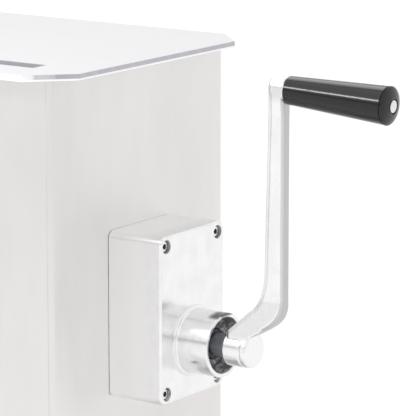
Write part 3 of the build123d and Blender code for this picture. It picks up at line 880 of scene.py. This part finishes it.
class MIXER_OT_crank(bpy.types.Operator):
    """Cast the crank arm with its hub and eye"""

    bl_idname = "mixer.crank"
    bl_label = "Crank Arm"

    def execute(self, context):
        arm = combine(self.bar(), self.hub(), "UNION")
        arm = combine(arm, self.eye(), "UNION")
        arm = combine(arm, self.lock_hole(), "DIFFERENCE")
        arm = combine(arm, self.rim_nick(), "DIFFERENCE")
        working = new_object("working", arm)
        remesh = working.modifiers.new("cast", "REMESH")
        remesh.mode = "VOXEL"
        remesh.voxel_size = 0.55 * MM
        smooth = working.modifiers.new("fettle", "SMOOTH")
        smooth.factor = 0.5
        smooth.iterations = 5
        arm = applied(working)
        self.mark_outer_side(arm)
        cast = arm_casting()
        show("crank_casting", arm, cast, "crank", ("crank_arm",), smooth=70)
        plated = bright_screw("spindle_steel", (0.62, 0.62, 0.62))
        paint(("hub_lock_screw", "grip_washer"), plated)
        return {"FINISHED"}

    @staticmethod
    def mark_outer_side(bm):
        """Stores how squarely each point faces away from the machine or down."""
        outward = bm.verts.layers.float.new("outward")
        bm.normal_update()
        for vert in bm.verts:
            normal = vert.normal
            if normal.x - normal.z > 0.3:
                vert[outward] = math.hypot(normal.x, normal.z)

    @staticmethod
    def inner_side():
        """The arm's side towards the machine, from the hub up."""
        points = [(HUB_START, 13.3), (96.0, 22.8), (104.8, 30.6)]
        points += curve((104.8, 30.6), (113.4, 41.4), (117.6, 60.0), 12)[1:]
        return points + [(118.6, 104.0), (121.2, CRANK_RADIUS)]

    @staticmethod
    def outer_side():
        """The arm's side away from the machine, from the eye down."""
        bend = curve((ARM_OUTER, 43.0), (130.4, 27.7), (116.9, 16.9), 14)
        return [(ARM_OUTER, CRANK_RADIUS)] + bend

    @classmethod
    def bar(cls):
        """The dog-leg bar: thinner along its inner side, its corners cut away, its root spread."""
        size = sizes()
        inner, outer = cls.inner_side(), cls.outer_side()
        hub_side = [(HUB_END, 11.0), (90.0, 6.0)]
        step = 3.4
        raised = [(x + step, z) for x, z in inner]
        full = cls.chamfered(raised, outer, hub_side, size.arm_width, 0)
        narrow = size.arm_width - 0.9 * MM
        thin = cls.chamfered(inner, outer, hub_side, narrow, size.arm_chamfer * 0.3)
        cls.spread(full)
        cls.spread(thin)
        return combine(full, thin, "UNION")

    @staticmethod
    def chamfered(inner, outer, hub_side, width, inner_chamfer):
        """A side view extruded to a width, with its inner and outer corners cut away."""
        inner, outer = to_metres(inner), to_metres(outer)
        bm = prism(inner + outer + to_metres(hub_side), width)

        def lies_on(side, vert):
            height = vert.co.z - CRANK_Z
            return any(math.hypot(vert.co.x - x, height - z) < 1e-5 for x, z in side)

        for side, offset in ((outer, sizes().arm_chamfer), (inner, inner_chamfer)):
            if not offset:
                continue
            rims = [
                edge
                for edge in bm.edges
                if abs(edge.verts[0].co.y - edge.verts[1].co.y) < 1e-6
                and all(lies_on(side, vert) for vert in edge.verts)
            ]
            bevel(bm, rims, offset, 1)
        return bm

    @staticmethod
    def spread(bm):
        """Widens the bar towards the hub, so its sides meet the hub's, and a little at the eye."""
        size = sizes()
        half = size.arm_width / 2
        touch_y = size.hub_radius * math.cos(ROOT_ANGLE)
        touch_z = size.hub_radius * math.sin(ROOT_ANGLE)
        slope = math.tan(ROOT_SLOPE)
        neck = touch_z + (touch_y - half) / slope
        eye_foot, eye_rise, eye_gain = 176, 22, 0.8 * MM
        for height in [*range(8, 44, 3), eye_foot, 182, 188, 194, 199]:
            geometry = bm.verts[:] + bm.edges[:] + bm.faces[:]
            level = (0, 0, CRANK_Z + height * MM)
            bmesh.ops.bisect_plane(bm, geom=geometry, plane_co=level, plane_no=(0, 0, 1))
        for vert in bm.verts:
            height = vert.co.z - CRANK_Z
            low = max(neck - max(height, touch_z), 0) * slope
            high = min(max((height / MM - eye_foot) / eye_rise, 0), 1)
            high = high * high * (3 - 2 * high) * eye_gain
            vert.co.y *= (half + low + high) / half

    @staticmethod
    def hub():
        """Round hub with a turned groove and a rounded outer rim."""
        radius = sizes().hub_radius
        start, groove, end = (PANEL_X + x * MM for x in (HUB_START, HUB_GROOVE, HUB_END))
        ease = 0.8 * MM
        rim = 3.5 * MM
        bottom = radius - 0.9 * MM
        outer = radius - 0.15 * MM
        profile = [(start, 0)] + arc((start + ease, radius - ease), ease, 180, 90, 4)
        profile += [(groove - 0.9 * MM, radius), (groove - 0.3 * MM, bottom)]
        profile += [(groove + 0.3 * MM, bottom), (groove + 0.9 * MM, outer)]
        profile += arc((end - rim, outer - rim), rim, 90, 0, 10) + [(end, 0)]
        return turn_profile(profile, 96, CRANK_Z)

    @staticmethod
    def lock_hole():
        """The hole for the locking screw in the hub's back, slightly wider than the screw."""
        low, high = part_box("hub_lock_screw")
        radius = (high.x - low.x) / 2 + 0.35 * MM
        bm = bmesh.new()
        bmesh.ops.create_cone(
            bm,
            cap_ends=True,
            segments=48,
            radius1=radius,
            radius2=radius,
            depth=2 * (high.y - low.y),
            matrix=Matrix.Rotation(math.pi / 2, 4, "X"),
        )
        bmesh.ops.translate(bm, verts=bm.verts, vec=((low.x + high.x) / 2, high.y, CRANK_Z))
        return bm

    @staticmethod
    def rim_nick():
        """A short upright nick in the front of the hub's rim, as a tool to cut with."""
        front = -sizes().hub_radius
        low = (PANEL_X + 103 * MM, front - 2 * MM, CRANK_Z - 1 * MM)
        high = (PANEL_X + 104.4 * MM, front + 1.6 * MM, CRANK_Z + 3 * MM)
        return cuboid(low, high)

    @staticmethod
    def eye():
        """Oval top end that holds the grip's spindle, square to the grip's axis."""
        radius = sizes().eye_radius
        start, end = -15.4 * MM, -1.7 * MM
        ease = 3.6 * MM
        profile = [(start, 0)] + arc((start + ease, radius - ease), ease, 180, 90, 8)
        profile += arc((end - 0.8 * MM, radius - 0.8 * MM), 0.8 * MM, 90, 0, 4) + [(end, 0)]
        bm = turn_profile(profile, 72, 0)
        bmesh.ops.scale(bm, verts=bm.verts, vec=(1, 0.72, 1))
        return on_grip_axis(bm)


class MIXER_OT_grip(bpy.types.Operator):
    """Turn the grip and its spindle"""

    bl_idname = "mixer.grip"
    bl_label = "Grip"

    def execute(self, context):
        gloss = glossy_black("grip_gloss", colours().grip)
        show("grip_handle", self.handle(), gloss, "grip", ("grip",))
        spindle = bright_screw("rivet_steel", (0.78, 0.78, 0.78))
        show("rivet_spindle", self.spindle(), spindle, "crank", ("grip_spindle",))
        return {"FINISHED"}

    @staticmethod
    def handle():
        """Tapered handle, groove, rounded bead and a dished end."""
        size = sizes()
        bore, end, groove = GRIP_BORE, GRIP_END, GRIP_GROOVE
        seat = end - 3.5 * MM
        large = size.grip_large
        ease = 0.6 * MM
        profile = [(0, bore)] + arc((ease, size.grip_small - ease), ease, 180, 90, 4)
        profile += [(groove - 1.2 * MM, large - 0.25 * MM), (groove - 0.6 * MM, large - 0.5 * MM)]
        profile += [(groove - 0.35 * MM, large - 1.0 * MM), (groove + 0.1 * MM, large - 1.15 * MM)]
        profile += [(groove + 0.3 * MM, large - 0.6 * MM), (groove + 0.6 * MM, large)]
        bead = curve((84.2, 14.55), (86.1, 12.2), (87.7, 6.9), 10)
        profile += [(x * MM, radius * MM) for x, radius in bead]
        profile += [(end, 6.5 * MM), (end - 0.35 * MM, 5.5 * MM), (seat, 5.2 * MM), (seat, bore)]
        profile.append((0, bore))
        return on_grip_axis(turn_profile(profile, size.lathe_steps, 0))

    @staticmethod
    def spindle():
        """Long rivet with a low domed head."""
        start, seat, end = -14.0 * MM, SPINDLE_SEAT, SPINDLE_END
        radius, shank = RIVET_RADIUS, 4 * MM
        profile = [(start, 0), (start, shank), (seat, shank), (seat, radius)]
        profile += [(end - 0.7 * MM, radius), (end - 0.3 * MM, radius - 0.5 * MM)]
        profile += [(end - 0.05 * MM, radius * 0.6), (end, 0)]
        return on_grip_axis(turn_profile(profile, 64, 0))


class MIXER_OT_lid(bpy.types.Operator):
    """Cut the acrylic lid and its strips"""

    bl_idname = "mixer.lid"
    bl_label = "Lid"

    def execute(self, context):
        sheet = cad_copy("lid")
        soften(sheet, 0.3 * MM, 30, 2)
        clear = clear_acrylic("clear_acrylic", colours().lid)
        piece = show("lid_sheet", sheet, clear, "lid", ("lid",))
        # Below this height the sawn edge carries a painted bright line of caught light.
        split = LID[0].z + 1.5 * MM
        piece.data.materials.append(acrylic_edge("sawn_acrylic", colours().lid_edge, split))
        for polygon in piece.data.polygons:
            if abs(polygon.normal.z) < 0.5:
                polygon.material_index = 1
        strips = cad_copy("lid_strips")
        soften(strips, 0.4 * MM, 30, 2)
        show("lid_strip_pair", strips, clear, "lid", ("lid_strips",))
        return {"FINISHED"}


class MIXER_OT_mixing_shaft(bpy.types.Operator):
    """Finish the mixing shaft and its blades"""

    bl_idname = "mixer.mixing_shaft"
    bl_label = "Mixing Shaft"

    def execute(self, context):
        colour = scaled(colours().sheet, 0.95)[:3]
        blade_steel = satin_sheet("blade_steel", colour, (1, 1, 0.1), 0.03)
        for number in range(1, 5):
            node = f"mixing_blade_{number}"
            blade = cad_copy(node)
            soften(blade, 0.6 * MM, 30, 2)
            show(f"blade_{number}", blade, blade_steel, "paddle", (node,))
        shaft_steel = turned_metal("shaft_steel", (0.62, 0.61, 0.6), 0.24)
        paint(("paddle_shaft", "output_shaft"), shaft_steel)
        return {"FINISHED"}


class MIXER_OT_tail_pin(bpy.types.Operator):
    """Turn the tail pin's fluted knob"""

    bl_idname = "mixer.tail_pin"
    bl_label = "Tail Pin"

    def execute(self, context):
        low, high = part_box("tail_knob")
        radius = (high.y - low.y) / 2
        neck = 9 * MM
        bore = 6.02 * MM
        ease = 2.5 * MM
        skirt = high.x - 7 * MM
        profile = [(low.x, 0), (low.x, radius * 0.55)]
        profile += arc((low.x + ease, radius - ease), ease, 180, 90, 6)
        profile += arc((skirt - 1 * MM, radius - 1 * MM), 1 * MM, 90, 0, 4)
        profile += [(skirt, neck), (high.x, neck), (high.x, bore), (low.x + 6 * MM, bore)]
        profile.append((low.x + 6 * MM, 0))
        knob = turn_profile(profile, 96, PADDLE_Z)
        for number in range(12):
            knob = combine(knob, self.flute(low.x, skirt, radius, number / 12), "DIFFERENCE")
        soften(knob, 0.25 * MM, 38, 2)
        plastic = glossy_black("knob_plastic", colours().grip)
        show("fluted_knob", knob, plastic, "tail_pin", ("tail_knob",))
        paint(("tail_pin",), turned_metal("pin_steel", (0.66, 0.66, 0.66), 0.2))
        return {"FINISHED"}

    @staticmethod
    def flute(start, end, radius, turn):
        """One finger flute, as a tool to cut with."""
        angle = FULL_TURN * turn
        away = radius + 1.6 * MM
        profile = [
            (start - 1 * MM, 0),
            (start - 1 * MM, 3 * MM),
            (end + 1 * MM, 3 * MM),
            (end + 1 * MM, 0),
        ]
        height, y = PADDLE_Z + away * math.sin(angle), away * math.cos(angle)
        return turn_profile(profile, 24, height, y)


class MIXER_OT_feet(bpy.types.Operator):
    """Mould the rubber feet"""

    bl_idname = "mixer.feet"
    bl_label = "Feet"

    def execute(self, context):
        rubber = black_rubber("foot_rubber", (0.03, 0.03, 0.032), 0.5)
        for end in ("left", "right"):
            for side in ("front", "back"):
                node = f"foot_{side}_{end}"
                foot = cad_copy(node)
                soften(foot, 0.8 * MM, 40, 3)
                show(f"rubber_{side}_{end}", foot, rubber, "frame", (node,))
        return {"FINISHED"}


class MIXER_OT_studio(bpy.types.Operator):
    """Set the floor, the lights and the camera"""

    bl_idname = "mixer.studio"
    bl_label = "Studio"

    def execute(self, context):
        self.floor()
        self.world(context.scene)
        self.sun("key", (-0.75, -0.45, 0.9), 0.24, 50)
        self.sun("back", (-0.55, 0.46, 0.7), 0.48, 32)
        self.softbox()
        self.camera(context.scene)
        context.scene.view_settings.view_transform = "Standard"
        return {"FINISHED"}

    @staticmethod
    def floor():
        """A wide sheet of pale paper."""
        bm = bmesh.new()
        bmesh.ops.create_grid(bm, x_segments=1, y_segments=1, size=14)
        floor = new_object("floor", bm)
        finish = new_finish("floor_paper")
        grain = finish.noise(4 * MM, detail=2.0)
        colour = colours().floor
        base = finish.mix(grain, scaled(colour, 0.99), rgba(colour))
        floor.data.materials.append(finish.surface({"Base Color": base, "Roughness": 0.9}))

    @staticmethod
    def world(scene):
        """White surroundings: in front, a dim band near the horizon and a bright one above."""
        finish = Finish(bpy.data.worlds.new("studio_world"))
        scene.world = finish.owner
        direction = finish.add("ShaderNodeTexCoord", output="Generated")
        height = finish.add("ShaderNodeSeparateXYZ", values={0: direction}, output="Z")
        back = finish.add("ShaderNodeSeparateXYZ", values={0: direction}, output="Y")
        front = 1 - finish.ease(back, -0.5, -0.1)
        dim = finish.ease(height, 0.1, 0.14) * (1 - finish.ease(height, 0.2, 0.26)) * front
        strip = finish.ease(height, 0.42, 0.46) * (1 - finish.ease(height, 0.5, 0.54)) * front
        level = 1.0 - dim * 0.6 + strip * 0.25
        values = {"Color": (1, 1, 1, 1), "Strength": level}
        light = finish.add("ShaderNodeBackground", values=values)
        finish.add("ShaderNodeOutputWorld", values={"Surface": light})

    @staticmethod
    def sun(name, source, strength, spread):
        """A distant soft light shining from a direction."""
        data = bpy.data.lights.new(name, "SUN")
        data.energy = strength
        data.angle = math.radians(spread)
        lamp = bpy.data.objects.new(name, data)
        lamp.rotation_euler = (-Vector(source)).to_track_quat("-Z", "Y").to_euler()
        bpy.context.scene.collection.objects.link(lamp)

    @staticmethod
    def softbox():
        """A long soft light in front of the grip, above it and to its left."""
        toward = Vector((-0.556, -0.70, 0.443)).normalized()
        data = bpy.data.lights.new("softbox", "AREA")
        data.shape = "RECTANGLE"
        data.size, data.size_y = 0.34, 0.06
        data.energy = 1.25
        lamp = bpy.data.objects.new("softbox", data)
        lamp.location = GRIP_START + GRIP_AXIS * 45 * MM + toward * 0.7
        right = (GRIP_AXIS - toward * GRIP_AXIS.dot(toward)).normalized()
        turn = Matrix((right, toward.cross(right), toward)).transposed()
        lamp.rotation_euler = turn.to_euler()
        lamp.visible_camera = False
        bpy.context.scene.collection.objects.link(lamp)

    @staticmethod
    def camera(scene):
        """The main camera, aimed at a point out from the lid and below it."""
        view = scene.mixer_view
        away = Vector(
            (
                math.sin(view.azimuth) * math.cos(view.elevation),
                -math.cos(view.azimuth) * math.cos(view.elevation),
                math.sin(view.elevation),
            )
        )
        target = Vector((PANEL_X + view.target_x, 0, LID[0].z + view.target_z))
        data = bpy.data.cameras.new("camera")
        data.lens = view.lens
        data.clip_start = 0.05
        data.clip_end = 60
        camera = bpy.data.objects.new("camera", data)
        camera.location = target + away * view.distance
        camera.rotation_euler = (-away).to_track_quat("-Z", "Y").to_euler()
        scene.collection.objects.link(camera)
        scene.camera = camera


OPERATORS = (
    MIXER_OT_studio,
    MIXER_OT_panels,
    MIXER_OT_trough,
    MIXER_OT_housing,
    MIXER_OT_screws,
    MIXER_OT_bearing,
    MIXER_OT_crank,
    MIXER_OT_grip,
    MIXER_OT_lid,
    MIXER_OT_mixing_shaft,
    MIXER_OT_tail_pin,
    MIXER_OT_feet,
)


class MIXER_PT_panel(bpy.types.Panel):
    """The mixer's settings and pieces"""

    bl_idname = "MIXER_PT_panel"
    bl_label = "Meat Mixer"
    bl_space_type = "VIEW_3D"
    bl_region_type = "UI"
    bl_category = "Mixer"

    def draw(self, context):
        for group in (getattr(context.scene, name) for name in GROUPS):
            box = self.layout.box()
            for name in group.bl_rna.properties.keys():
                if name not in {"rna_type", "name"}:
                    box.prop(group, name)
        for operator in OPERATORS:
            self.layout.operator(operator.bl_idname)


GROUPS = {"mixer_sizes": MixerSizes, "mixer_colours": MixerColours, "mixer_view": MixerView}


def register():
    for cls in (*GROUPS.values(), *OPERATORS, MIXER_PT_panel):
        bpy.utils.register_class(cls)
    for name, group in GROUPS.items():
        setattr(bpy.types.Scene, name, PointerProperty(type=group))


def unregister():
    for name in GROUPS:
        delattr(bpy.types.Scene, name)
    for cls in (MIXER_PT_panel, *reversed(OPERATORS), *reversed(GROUPS.values())):
        bpy.utils.unregister_class(cls)


def main():
    register()
    for operator in OPERATORS:
        group, name = operator.bl_idname.split(".")
        getattr(getattr(bpy.ops, group), name)()


if __name__ == "__main__":
    main()
